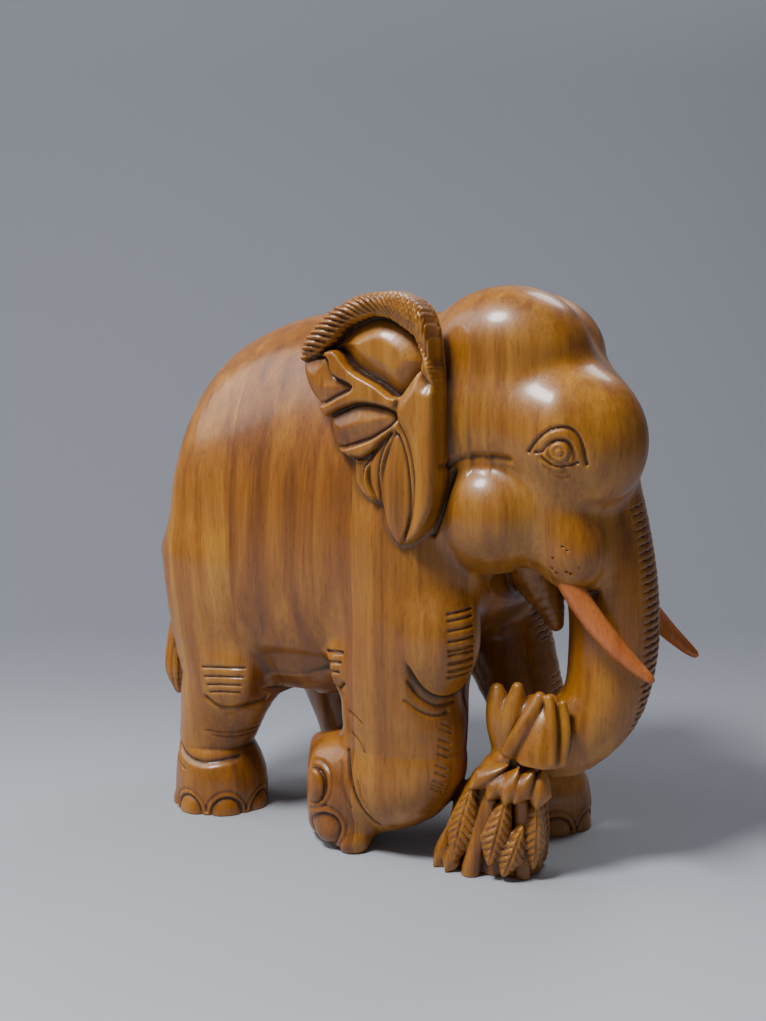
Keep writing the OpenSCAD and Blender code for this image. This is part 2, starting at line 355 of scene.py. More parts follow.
ear = {
    "outline": [(-29, 254), (-22, 266), (-8, 277), (10, 283), (30, 283), (44, 272), (49, 242), (50, 207),
                (48.5, 182), (40, 168), (29, 162), (21, 170), (18, 181), (9, 184), (3, 191), (1, 203),
                (-9, 209), (-13, 222), (-25, 238)],
    "back": 58, "ribs": 74.5, "flapOut": 73.5, "rimOut": 76.5,   # mm out from the middle of the carving
    # each panel: its outline, how far out it lies and how much it swells
    "panels": [
        ([(-17, 254), (-9, 261), (0, 268), (13, 272), (24, 270), (36, 262), (42, 252), (40, 245), (28, 233),
          (16, 239), (2, 246), (-8, 256)], 65.5, 6),
        ([(-28, 251), (-13, 253), (-9, 244), (3, 238), (-6, 233), (-16, 229), (-24, 232), (-30, 241)],
         70.5, 2.5),
        ([(-14, 222), (0, 229), (10, 230.5), (26, 227), (27, 221), (18, 215), (9, 211), (-8, 208)], 70, 3),
        ([(1, 203), (8, 204), (16, 208), (10, 199), (9.5, 191), (13, 183), (7, 181), (0, 190)], 70.5, 2),
        ([(26, 217), (18, 211), (12, 202), (11, 193), (14, 185), (19, 179), (18, 196), (21, 208)], 71.5, 2),
        ([(28, 217), (22, 206), (19, 194), (19, 180), (22, 169), (29, 160), (35, 172), (36.5, 188),
          (34, 206)],
         72.5, 2.5),
    ],
    "flap": [(41, 246), (35, 240), (28, 230), (28.5, 222), (34, 212), (37.5, 198), (37.5, 184), (35, 171),
             (30, 158), (43, 164), (53, 180), (54, 210), (54, 240), (46, 240)],
    "rim": [(-32, 251), (-26, 266), (-10, 279), (8, 287), (32, 287), (49, 274), (54.5, 246), (53.5, 226),
            (49, 237), (45, 241), (41.5, 246), (42.5, 252), (36, 263), (24, 270.5), (13, 272.5),
            (-1, 268.5), (-11, 259), (-18, 254)],
    "rimCuts": 34, "cutPart": 0.93, "cutSlant": 0.06,   # number of cuts, share of the rim cut, and their lean
    "rimOuter": [(-32, 253), (-27, 263), (-16, 273), (0, 281.5), (14, 286), (26, 287), (38, 284),
                 (47, 276), (51.5, 264), (53.5, 250)],
    "rimInner": [(-19, 250), (-13, 256), (-3, 266), (9, 271.5), (21, 271.5), (31, 267), (40, 258),
                 (46, 250), (49, 242), (51, 233)],
    "cheekGap": [(52, 198), (49.5, 182), (43, 167)],
}


def earFace(x, z):
    face = np.full(np.broadcast(x, z).shape, ear["ribs"], np.float32)
    for outline, out, swell in ear["panels"]:
        d = outlineDistance(x, z, curve(outline, 3, True))
        panel = out + swell * smoothStep(-d, 0, 12)
        share = smoothStep(-d, -0.5, 0.9)
        face = face + (panel - face) * share - 1.4 * np.exp(-((d + 0.2) / 1.1) ** 2)
    d = outlineDistance(x, z, curve(ear["flap"], 3, True))
    flap = ear["flapOut"] + 3.2 * smoothStep(-d, 0, 7)
    face = face + (flap - face) * smoothStep(-d, -0.4, 0.8) - 1.6 * np.exp(-(d / 1.0) ** 2)
    d = outlineDistance(x, z, ear["rim"])
    rim = ear["rimOut"] - 3.5 * (1 - smoothStep(-d, -2, 7))
    return face + (rim - face) * smoothStep(-d, -0.6, 0.6)


def earForm(side):
    def form(x, y, z):
        edge = outlineDistance(x, z, curve(ear["outline"], 4, True))
        face = earFace(x, z)
        slopes = np.gradient(face[:, 0, :], voxel)
        steep = np.sqrt(1 + np.minimum(slopes[0] ** 2 + slopes[1] ** 2, 3))[:, None, :]
        front = -meld(-(side * y - face) / steep, -edge, 3.5)
        return -meld(-front, side * y - ear["back"], 5)
    return form


def earCuts():   # short slanting cuts over the rolled rim
    outer, inner = curve(ear["rimOuter"], 12), curve(ear["rimInner"], 12)
    last = len(outer) - 1
    lines = []
    for i in range(ear["rimCuts"]):
        place = (i + 0.5) / ear["rimCuts"] * last * ear["cutPart"]
        a = outer[int(place)]
        b = inner[min(int(place + last * ear["cutSlant"]), last)]
        lines.append([a, (a + b) / 2 + np.array((0.8, 0.8)), b])
    return lines


for side in (-1, 1):
    add(earForm(side), (-31, min(side * 55, side * 78), 158), (52, max(side * 55, side * 78), 288), 2)
    engrave(earCuts(), 1.7, 1.05, side, (60, 80))
    engrave([curve(ear["cheekGap"], 4)], 1.6, 1.8, side, (40, 73))
print("ears carved")

# eyes, cheeks and mouth

eye = {
    "lid": [(91, 208.5), (95, 213.5), (101, 218.5), (108, 220), (113, 216.5), (115.5, 210), (116.5, 203)],
    "lash": [(94.5, 208.2), (98, 209), (101, 212.6), (105.5, 214.6), (109.5, 213), (111.5, 209),
             (112, 205.5)],
    "under": [(97, 206.5), (100, 203.8), (104.5, 202), (109, 202.6), (113, 204)],
    "bags": [[(98, 202), (103, 199.4), (108, 200)], [(101, 198.6), (105, 197), (109, 197.6)]],
    "middle": (105.6, 208.6), "iris": 4.9, "pupil": 2.1,
    "ball": (8.5, 3.6, 6.5), "ballOut": 48.5, "ballUp": 208.5,
    "cheekGroove": [(48, 200), (54, 203.5), (62, 205.2), (71, 205.4), (80, 204.4)],
    "pits": [(98, 153), (100, 151), (105, 152), (107, 151), (111, 154), (109, 149), (106, 162), (104, 164),
             (99, 158)],   # pinholes in the muzzle
}


def ring(middle, radius):
    a = np.linspace(0, 2 * math.pi, 25)
    return np.stack([middle[0] + radius * np.cos(a), middle[1] + radius * np.sin(a)], 1)


def turned(line, side):   # the far half of the head lies further back
    return np.array(line, float) - ((head["turn"] * head["farEye"], 0) if side > 0 else (0, 0))


for side in (-1, 1):
    back = head["turn"] * head["farEye"] if side > 0 else 0
    reach = (38, 68) if side < 0 else (28, 58)
    addBall((eye["middle"][0] - back, faceY + side * eye["ballOut"], eye["ballUp"]), eye["ball"], 3,
            yaw=side * -18)
    engrave([turned(curve(eye["lid"], 4), side)], 1.5, 1.3, side, reach)
    engrave([turned(curve(eye[edge], 4), side) for edge in ("lash", "under")], 1.4, 1.2, side, reach)
    engrave([turned(ring(eye["middle"], eye["iris"]), side)], 1.1, 1.1, side, reach)
    engrave([turned(ring(eye["middle"], eye["pupil"]), side)], 0.8, 0.9, side, reach)
    engrave([turned(curve(line, 4), side) for line in eye["bags"]], 0.7, 1.1, side, reach)
    engrave([turned(curve(eye["cheekGroove"], 4), side)], 1.0, 2.6, side, (35, 70), bevel=1.4)
for x, z in eye["pits"]:
    cut(ball((x, -47.5, z), (0.62, 4.6, 0.55)), (x - 1, -54, z - 1), (x + 1, -40, z + 1), 0.3)
print("face carved")

# feet and folds of the skin

feet = {
    # middle of a foot, mm out to its nails, and the directions that they face in degrees
    "nails": [((-110, -39), 24.2, (-150, -97, -45, 7)), ((-60, 37), 23.2, (150, 97, 45, -7)),
              ((61, 30), 23.2, (100, 50, 0, -50))],
    "nail": (3.6, 7.4, 8.6),
    # place, radii and turn of the nails on the lifted foot
    "liftedNails": [((-23, -72, 34.5), (7.5, 3.6, 8.8), -8), ((-16.5, -67.5, 12.5), (8.5, 4.6, 8.8), -8)],
    "soleWay": (-0.85, -0.52, 0.0), "sole": (-34, -60, 25),   # the lifted sole faces a little outwards
    "kneeFolds": (85, 80, 75.5, 71.5),
}


def addNail(place, radii, yaw, low=0):
    # a flat swelling with a groove close round it and a fainter one outside
    reach = max(radii) + 8
    part, x, y, z = window(np.array(place) - reach, np.array(place) + reach)
    edge = ball(place, radii, yaw=yaw)(x, y, z)
    wood[part] += 0.8 * np.clip(1 - np.abs(edge - 4.2) / 1.2, 0, 1) * (z > low)
    wood[part] += 1.5 * np.clip(1 - np.abs(edge - 1.1) / 1.3, 0, 1)
    wood[part] = meld(wood[part], edge, 1.0)


def beyondSole(x, y, z):   # negative past the flat sole of the lifted foot
    return -sum(w * (g - p) for w, g, p in zip(unit(feet["soleWay"]), (x, y, z), feet["sole"]))


for (footX, footY), radius, angles in feet["nails"]:
    for angle in angles:
        a = math.radians(angle)
        addNail((footX + radius * math.cos(a), footY + radius * math.sin(a), 0.5), feet["nail"], angle, 2)
for spot, radii, angle in feet["liftedNails"]:
    addNail(spot, radii, angle)
cut(beyondSole, (-64, -90, -4), (-6, -10, 64), 7)
addBall((-88, -57, 80), (15, 8, 17), 9)       # knee caps
addBall((-76, 56, 80), (14, 7, 17), 9)
addBall((-13, -50, 95), (9, 17, 13), 8)       # elbow


def arcs(levels, left, right, sag):   # a stack of smile-shaped cuts
    return [curve([(left + 1.5 * i, z), ((left + right) / 2, z - sag), (right - 1.0 * i, z + 1.5)], 5)
            for i, z in enumerate(levels)]


def hatch(path, count, half, lean):   # short cuts across a path
    line = curve(path, 8)
    lines = []
    for i in range(count):
        p = line[int((i + 0.5) / count * (len(line) - 1))]
        lines.append([p + (-half, -lean), p + (half, lean)])
    return lines


engrave(arcs(feet["kneeFolds"], -100, -75, -1.2), 1.2, 1.1, -1, (40, 80))
engrave(arcs(feet["kneeFolds"], -88, -64, -1.2), 1.2, 1.1, 1, (40, 80))
engrave([curve([(-99, 68), (-92, 63.5), (-84, 63), (-74, 67), (-66, 75)], 4)], 1.4, 2.2, -1, (40, 80))
engrave([curve([(-103, 48), (-91, 46.5), (-79, 48)], 5), curve([(-100, 45), (-91, 43.6), (-82, 45)], 5)],
        0.8, 1.0, -1, (35, 75))
engrave([curve([(-129, 38), (-122, 33), (-113, 30), (-104, 29), (-92, 31)], 5)],
        2.0, 3.2, -1, (35, 75), bevel=1.4)
engrave([curve([(-131, 32), (-124, 26.5), (-117, 24)], 5)], 1.0, 1.6, -1, (35, 75))
engrave([curve([(-86, 37), (-74, 31), (-62, 29), (-48, 32)], 5)], 2.0, 3.2, 1, (35, 75))
engrave(arcs((102, 97, 92), -21, -8, -1.2) + [curve([(-17, 87), (-12, 84.5), (-7, 88)], 5)],
        1.4, 1.2, -1, (45, 85))
engrave(hatch([(49.5, 72), (47.5, 60), (45, 46), (43, 38)], 10, 3.2, -1.4), 0.9, 0.8, -1, (36, 82), look=32)
engrave([curve([(-5, 53), (-1, 42), (3, 32), (7, 24), (12, 17)], 5)], 1.6, 1.6, -1, (40, 85))
engrave([curve([(-8, 47), (-4, 36), (0, 25)], 5), curve([(4, 40), (7, 31), (9, 26)], 5)],
        0.8, 1.2, -1, (40, 85))
engrave([curve([(-4, 74), (1, 72.5), (6, 70)], 5), curve([(-2, 63), (3, 60), (7, 55)], 5)],
        0.9, 1.0, -1, (50, 85))


def fold(line, drop, fade, side, reach, look=0, soft=1.6):
    # skin hangs over a line, and what is under it steps back by drop mm and fades out over fade mm
    c, sn = math.cos(math.radians(look)), math.sin(math.radians(look))
    line = np.array(line, float)
    inner, outer = reach
    yLow, yHigh = (-outer, -inner) if side < 0 else (inner, outer)
    part, x, y, z = window((line[0, 0] - 12, yLow, line[:, 1].min() - fade),
                           (line[-1, 0] + 12, yHigh, line[:, 1].max() + 3))
    u = x - side * (y - 0.5 * (inner + outer) * side) * sn / c
    under = np.interp(u, line[:, 0], line[:, 1]) - z
    ends = smoothStep(u, line[0, 0], line[0, 0] + 7) * (1 - smoothStep(u, line[-1, 0], line[-1, 0] + 4))
    wood[part] += drop * smoothStep(under, -0.4, soft) * (1 - smoothStep(under, soft, fade)) * ends


folds = {
    "chest": [(23, 108), (28, 101.5), (35.4, 92.3), (45, 87.6), (56.5, 89.1), (62.7, 96.5), (70, 108)],
    "belly": [(-74, 97), (-62, 101), (-46, 102), (-28, 101), (-18, 99)],
    "muzzle": [(86, 148), (92, 144), (99, 141.5), (105, 141), (112, 142)],   # overhangs the tusk's root
}
fold(curve(folds["chest"], 4), 3.4, 30, -1, (36, 82), look=32)
engrave([curve([(26, 94.6), (33.2, 86), (42.8, 81.8), (53.2, 82.3)], 4),
         curve([(24.5, 84.8), (34.4, 78.6), (43.4, 76.4), (49, 78)], 4)], 1.1, 1.4, -1, (36, 82), look=32)
engrave(hatch([(55.5, 129.5), (56.5, 112), (56, 97)], 9, 7, 0.8), 1.3, 1.1, -1, (36, 82), look=32)
for side in (-1, 1):
    fold(curve(folds["belly"], 4), 1.8, 24, side, (50, 80), soft=6)
    fold(turned(curve(folds["muzzle"], 4), side), 2.4, 14, side, (22, 56), soft=2)
print("skin folds carved")

# tail

tail = {
    "stations": [(-130, -2, 216, 7, 9), (-140, -12, 182, 5, 6.5), (-140, -26, 142, 4.2, 5),
                 (-138, -42, 104, 4.2, 4.8), (-136, -47, 86, 5.5, 6.5), (-134, -48, 76, 6.2, 7.2),
                 (-132, -48, 66, 4, 4)],
    "tuft": (0.82, 0.86),     # shares of its length between which the tuft starts
    "strands": 9, "twist": 6, "strandDepth": 0.9,
}


def tailMarks(travel, side, depth):   # strands of the tuft
    tuft = smoothStep(travel, *tail["tuft"])
    turns = np.arctan2(side, depth) / (2 * math.pi)
    return tail["strandDepth"] * tuft * pulse(turns * tail["strands"] + travel * tail["twist"], 0.5)


addLimb(tail["stations"], 1.5, tailMarks, 4)
print("tail carved")

# leaf spray held by the trunk

leaves = {
    "core": [(84, -31, 76, 13, 11), (80, -33, 62, 13, 11), (73, -36, 44, 15, 17), (66, -38, 22, 17, 24),
             (65, -38, 4, 18, 25), (65, -38, -8, 18, 25)],
    "thick": 4.6, "veinPitch": 3.8, "veinDepth": 1.1,
    "plainBelow": 5.6,   # mm of half width, under which a leaf has no veins
    "upperFace": (0.42, -0.9, 0.1),
    # root, tip and half width
    "upper": [((78, -50, 56), (60, -57, 43), 5.5), ((80, -50, 53), (70, -57, 39), 6),
              ((84, -51, 55), (80, -58, 38), 6), ((91, -49, 55), (84, -56, 39), 6),
              ((94, -45, 55), (93, -50, 36), 6.5)],
    # the same, and the direction that the leaf faces
    "long": [((60, -48, 45), (54, -60, 5), 8.5, (0.1, -1, 0.15)),
             ((79, -53, 41), (73, -60, 7), 7.8, (0.4, -0.9, 0.15)),
             ((87, -52, 28), (79, -57, 2), 7, (0.5, -0.85, 0.1)),
             ((91, -47, 40), (90, -48, 5), 6.2, (0.7, -0.7, 0.1)),
             ((49, -49, 22), (43, -57, -4), 5.5, (-0.2, -1, 0.3)),
             ((53, -54, 14), (51, -60, -2), 5, (0, -1, 0.3))],
    "stalks": [[(71, -54, 41, 3, 4), (67, -58, 20, 3, 4), (63, -59, 4, 4.5, 4.5), (62, -59, -6, 5, 5)],
               [(85, -49, 38, 4, 4), (86, -50, 16, 3.5, 4), (86, -49, -4, 3.5, 4)]],
    "farLeaves": 6, "farHalf": 8.5,
}
trunkTip = {
    # two pointed lobes with a cleft between them: stations, and mm that each melts over
    "lobes": [([(71, -35, 58, 9, 8), (69.5, -37, 71, 9, 9), (67, -38, 80, 7, 6.6),
                (65.4, -38, 88.5, 3.4, 3.8)], 1.6),
              ([(72, -35, 58, 9, 8), (73.5, -37, 72, 9, 9), (75.8, -38, 81, 6.4, 6.2),
                (76.8, -38, 91, 2.8, 3)], 1.2)],
}
wrap = {
    # the folded leaf round the trunk: a bell cut off level, with ribs down its edges
    "bell": [(94, -37, 86, 4, 4), (94, -39, 81, 6.5, 6), (93, -42, 72, 9.5, 9), (91.5, -43.5, 60, 12, 11.5),
             (91, -44, 50, 12.5, 12)],
    "level": 58.5, "levelSlope": 0.08, "levelFrom": 82,   # height of its lower edge, its slope, and where
    "ribs": [[(91, -43, 89, 3, 3), (86.5, -48.5, 77, 4, 4), (79.5, -52, 63, 4, 4)],
             [(96, -43, 89, 2.4, 2.4), (99.5, -47, 76, 2.4, 2.4), (100.5, -49.5, 60, 2.2, 2.2)],
             [(101, -38, 86, 2.2, 2.2), (104, -41, 74, 2.4, 2.4), (103.5, -44, 59, 2.2, 2.2)]],
}


def leaf(root, tip, half, face, veins=True, bow=2.0):   # a pointed blade that bows out along its face
    root, tip, face = np.array(root, float), np.array(tip, float), unit(face)
    length = np.linalg.norm(tip - root)
    way = (tip - root) / length
    out = unit(face - way * face.dot(way))
    wide = np.cross(out, way)

    def form(x, y, z):
        gx, gy, gz = x - root[0], y - root[1], z - root[2]
        along, across, height = (gx * v[0] + gy * v[1] + gz * v[2] for v in (way, wide, out))
        t = along / length
        profile = np.sqrt(np.clip(t * 1.6, 0.02, 1)) * np.clip((1.02 - t) * 2.6, 0, 1) ** 0.75
        edge = np.abs(across) / (half * np.maximum(profile, 0.05))
        lifted = height - bow * np.sin(np.clip(t, 0, 1) * math.pi)
        dome = leaves["thick"] * (1 - edge ** 2)
        d = (np.abs(lifted) - dome) * 0.75
        d = np.maximum(d, np.maximum(-along - 1, along - length) * 0.8)
        if veins:
            d = d + leaves["veinDepth"] * np.clip(1 - np.abs(across) / 0.9, 0, 1)
            slant = (along - 0.9 * np.abs(across)) / leaves["veinPitch"]
            away = smoothStep(np.abs(across), 0.8, 1.6)
            d = d + leaves["veinDepth"] * pulse(slant, 0.5) * away * (edge < 0.86)
        return d
    low = np.minimum(root, tip) - half - 2
    high = np.maximum(root, tip) + half + 2
    add(form, low, high, 0.8)


addLimb(leaves["core"], 2, steps=3)
for lobe, melt in trunkTip["lobes"]:
    addLimb(lobe, melt, steps=6)
bell = limb(wrap["bell"], steps=10)


def cutBell(x, y, z):
    return np.maximum(bell(x, y, z), wrap["level"] - wrap["levelSlope"] * (x - wrap["levelFrom"]) - z)


add(cutBell, (78, -58, 56), (105, -28, 96), 1)
for rib in wrap["ribs"]:
    addLimb(rib, 1.2, steps=8)
for root, tip, half in leaves["upper"]:
    leaf(root, tip, half, leaves["upperFace"], False)
for root, tip, half, face in leaves["long"]:
    leaf(root, tip, half, face, half > leaves["plainBelow"])
for stalk in leaves["stalks"]:
    addLimb(stalk, 0.8)
for i in range(leaves["farLeaves"]):   # the sides that face away
    a = math.radians(-5 + 32 * i)
    foot = (65 + 22 * math.cos(a), -37 + 19 * math.sin(a))
    leaf((70 + 15 * math.cos(a), -36 + 12 * math.sin(a), 44), (foot[0], foot[1], 0), leaves["farHalf"],
         (math.cos(a), math.sin(a), 0.2))
print("leaves carved")

# from the block to the boards

shadeAndWear = {"clip": 10, "cut": 1.6, "hollow": 5}   # mm: distances kept, and the reach of a cut and of a hollow, for the painted shade in them and the lighter worn ridges
wood[:, :, gridZ < 0] = np.maximum(wood[:, :, gridZ < 0], -gridZ[gridZ < 0].astype(np.float32))


def blurred(field, radius):   # box blur, three axes
    n = max(1, int(round(radius / voxel)))
    for axis in range(3):
        padded = np.pad(field, [(n + 1, n) if k == axis else (0, 0) for k in range(3)], mode="edge")
        total = np.cumsum(padded, axis=axis, dtype=np.float32)
        size = field.shape[axis]
        start = [slice(None)] * 3
        end = [slice(None)] * 3
        start[axis], end[axis] = slice(0, size), slice(2 * n + 1, 2 * n + 1 + size)
        field = (total[tuple(end)] - total[tuple(start)]) / (2 * n + 1)
    return field


def sample(field, points):   # value at points given in grid steps
    base = np.clip(np.floor(points).astype(int), 0, np.array(field.shape) - 2)
    f = (points - base).astype(np.float32)
    total = 0
    for i in (0, 1):
        for j in (0, 1):
            for k in (0, 1):
                share = (f[:, 0] if i else 1 - f[:, 0]) * (f[:, 1] if j else 1 - f[:, 1]) * \
                        (f[:, 2] if k else 1 - f[:, 2])
                total = total + share * field[base[:, 0] + i, base[:, 1] + j, base[:, 2] + k]
    return total


near = np.clip(wood, -shadeAndWear["clip"], shadeAndWear["clip"])
# groove and hollow say how deep a point lies in a cut or a hollow; the materials paint shade there
groove = near - blurred(near, shadeAndWear["cut"])
hollow = near - blurred(near, shadeAndWear["hollow"])
grid = openvdb.FloatGrid(background=3.0)
grid.copyFromArray(np.clip(wood / voxel, -3, 3))
points, quads = grid.convertToQuads(isovalue=0.0)
print("carving has", len(quads), "quads")


def newMesh(name, points, faces):
    mesh = bpy.data.meshes.new(name)
    mesh.from_pydata([tuple(p) for p in points], [], [tuple(int(i) for i in f) for f in faces])
    mesh.update()
    return mesh


def place(points):   # grid steps to metres in the frame
    return (blockLow + voxel * points) * mm


solid = newMesh("carving", place(points), quads)
for name, values in (("groove", sample(groove, points)), ("hollow", sample(hollow, points))):
    layer = solid.attributes.new(name, "FLOAT", "POINT")
    layer.data.foreach_set("value", np.asarray(values, np.float32))
step = 0.6   # grid steps to each side, over which the slope is read
slope = np.stack([sample(wood, points + np.eye(3)[i] * step) - sample(wood, points - np.eye(3)[i] * step)
                  for i in range(3)], 1)
slope /= np.maximum(np.linalg.norm(slope, axis=1, keepdims=True), 1e-6)
layer = solid.attributes.new("facing", "FLOAT_VECTOR", "POINT")
layer.data.foreach_set("vector", slope.astype(np.float32).ravel())

# materials


def linear(code):   # sRGB hex to the linear colour that Blender mixes in
    parts = [int(code[i:i + 2], 16) / 255 for i in (1, 3, 5)]
    return tuple(c / 12.92 if c <= 0.04045 else ((c + 0.055) / 1.055) ** 2.4 for c in parts) + (1,)


def node(tree, kind, links=(), out=None, stops=(), **settings):   # adds one node, gives back an outlet
    made = tree.nodes.new("ShaderNode" + kind)
    for name, value in settings.items():
        setattr(made, name, value)
    for i, (position, colour) in enumerate(stops):
        stop = made.color_ramp.elements[i] if i < 2 else made.color_ramp.elements.new(position)
        stop.position = position
        stop.color = colour if isinstance(colour, tuple) else (colour, colour, colour, 1)
    for name, value in links:
        socket = next(s for s in made.inputs if s.enabled and s.name == name) if isinstance(name, str) \
            else made.inputs[name]
        if isinstance(value, bpy.types.NodeSocket):
            tree.links.new(value, socket)
        else:
            socket.default_value = value
    return next((s for s in made.outputs if s.enabled and out in (None, s.name)), None)


# Varnished hardwood, cut by hand and rubbed down. The eye gets grain that runs up the boards in streaks, fine
# dark pores, painted shade with some staining in the hollows, painted shade in the cuts, and a clear coat
# with fairly sharp highlights.
timber = {
    # pattern: mm across the grain, mm along it, detail, waver
    "streak": (11, 260, 3.0, 0.5),     # broad bands of colour
    "cloud": (50, 80, 2.0, 0.0),       # slow change from light to dark
    "fibre": (1.5, 40, 2.0, 0.0),      # fine grain
    "pore": (0.9, 8, 1.0, 0.0),        # drawn coarser than life so that they show
    "shares": (("cloud", 0.24), ("fibre", 0.18), ("streak", 0.5)),   # in the figure of the wood
    "bands": (0.32, 0.46, 0.62),       # where in it the dark, middle and light colours lie
    # amounts of pore staining, of painted shade in the hollows and the cuts, and of lightening on worn raised
    # parts: starts and ends
    "poreStops": ((0.31, 0.26), (0.41, 0.0)),
    "hollowShadeStops": ((0.2, 0.0), (1.0, 0.52)),
    "cutShadeStops": ((0.05, 0.0), (0.55, 0.85)),
    "wornStops": ((0.12, 0.0), (0.5, 0.4)),
    "bump": 0.35, "bumpHeight": 0.0001,
    "roughness": 0.42, "coat": 0.42, "coatRoughness": 0.17, "ior": 1.48,
    "cutShadeColour": "#2A1406",                 # painted shade at the bottom of the cuts
}


def varnishedWood(name, dark, middle, light, poreAndShadeColour, seed, lean=0.0):
    material = bpy.data.materials.new(name)
    material.use_nodes = True
    tree = material.node_tree
    tree.nodes.clear()
    place = node(tree, "TexCoord", out="Object")
    board = node(tree, "Mapping", [("Vector", place), ("Rotation", (0, lean, 0)),
                                   ("Location", (seed * 0.37, seed * 0.21, seed * 0.11))])
    patterns = {}
    for key in ("streak", "cloud", "fibre", "pore"):
        across, along, detail, waver = timber[key]
        stretched = node(tree, "Mapping", [("Vector", board),
                                           ("Scale", (1000 / across, 1000 / across, 1000 / along))])
        patterns[key] = node(tree, "TexNoise", [("Vector", stretched), ("Scale", 1.0), ("Detail", detail),
                                                ("Distortion", waver)])
    figure = 0.0
    for key, share in timber["shares"]:
        figure = node(tree, "Math", [(0, patterns[key]), (1, share), (2, figure)], operation="MULTIPLY_ADD")
    colour = node(tree, "ValToRGB", [("Fac", figure)],
                  stops=list(zip(timber["bands"], map(linear, (dark, middle, light)))))
    pores = node(tree, "ValToRGB", [("Fac", patterns["pore"])], stops=timber["poreStops"])
    colour = node(tree, "Mix", [("Factor", pores), ("A", colour), ("B", linear(poreAndShadeColour))], data_type="RGBA")
    groove = node(tree, "Attribute", attribute_name="groove", out="Fac")
    hollow = node(tree, "Attribute", attribute_name="hollow", out="Fac")
    # painted shade, with some staining: the hollows darken towards the pore colour
    hollowShadeMask = node(tree, "ValToRGB", [("Fac", hollow)], stops=timber["hollowShadeStops"])
    colour = node(tree, "Mix", [("Factor", hollowShadeMask), ("A", colour), ("B", linear(poreAndShadeColour))], data_type="RGBA")
    # painted shade: the cuts darken towards a near black brown
    cutShadeMask = node(tree, "ValToRGB", [("Fac", groove)], stops=timber["cutShadeStops"])
    colour = node(tree, "Mix", [("Factor", cutShadeMask), ("A", colour), ("B", linear(timber["cutShadeColour"]))],
                  data_type="RGBA")
    raised = node(tree, "Math", [(0, groove), (1, -1.0)], operation="MULTIPLY")
    worn = node(tree, "ValToRGB", [("Fac", raised)], stops=timber["wornStops"])
    colour = node(tree, "Mix", [("Factor", worn), ("A", colour), ("B", linear(light))], data_type="RGBA")
    rough = node(tree, "Math", [(0, patterns["fibre"]), (1, 0.1), (2, timber["roughness"] - 0.05)],
                 operation="MULTIPLY_ADD")
    rough = node(tree, "Math", [(0, cutShadeMask), (1, 0.25), (2, rough)], operation="MULTIPLY_ADD")
    height = node(tree, "Math", [(0, pores), (1, -3.5), (2, patterns["fibre"])], operation="MULTIPLY_ADD")
    bump = node(tree, "Bump", [("Strength", timber["bump"]), ("Distance", timber["bumpHeight"]),
                               ("Height", height)])
    shader = node(tree, "BsdfPrincipled", [
        ("Base Color", colour), ("Roughness", rough), ("IOR", timber["ior"]), ("Normal", bump),
        ("Coat Weight", timber["coat"]), ("Coat Roughness", timber["coatRoughness"])])
    node(tree, "OutputMaterial", [("Surface", shader)])
    return material


finishes = {
    # board: material name, slot, dark, middle, light, colour of the pores and of the painted shade in the
    # hollows, seed, lean of the grain
    "tail_board": ("varnishedTeakGolden", "wood_mid", "#72400C", "#995D13", "#BA7F29", "#3A1A03", 1, 0.06),
    "belly_board": ("varnishedTeakBrown", "wood_dark", "#68370A", "#8E530F", "#AE7221", "#341602", 5, -0.03),
    "shoulder_board": ("varnishedTeakPale", "wood_pale", "#72400D", "#985E17", "#B57C2C", "#3A1A03", 9, 0.02),
    "face_board": ("varnishedTeakTan", "wood_face", "#75410B", "#9D6013", "#BD8229", "#3A1A03", 13, 0.0),
}

# the boards

margin = 0.02   # metres that the saw's box reaches past the block
names = list(finishes)
glueX = [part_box("belly_board")[0].x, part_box("shoulder_board")[0].x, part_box("face_board")[0].x]
edges = [cadLow.x - margin] + glueX + [cadHigh.x + margin]


def newObject(name, mesh):
    piece = bpy.data.objects.new(name, mesh)
    bpy.context.scene.collection.objects.link(piece)
    return piece


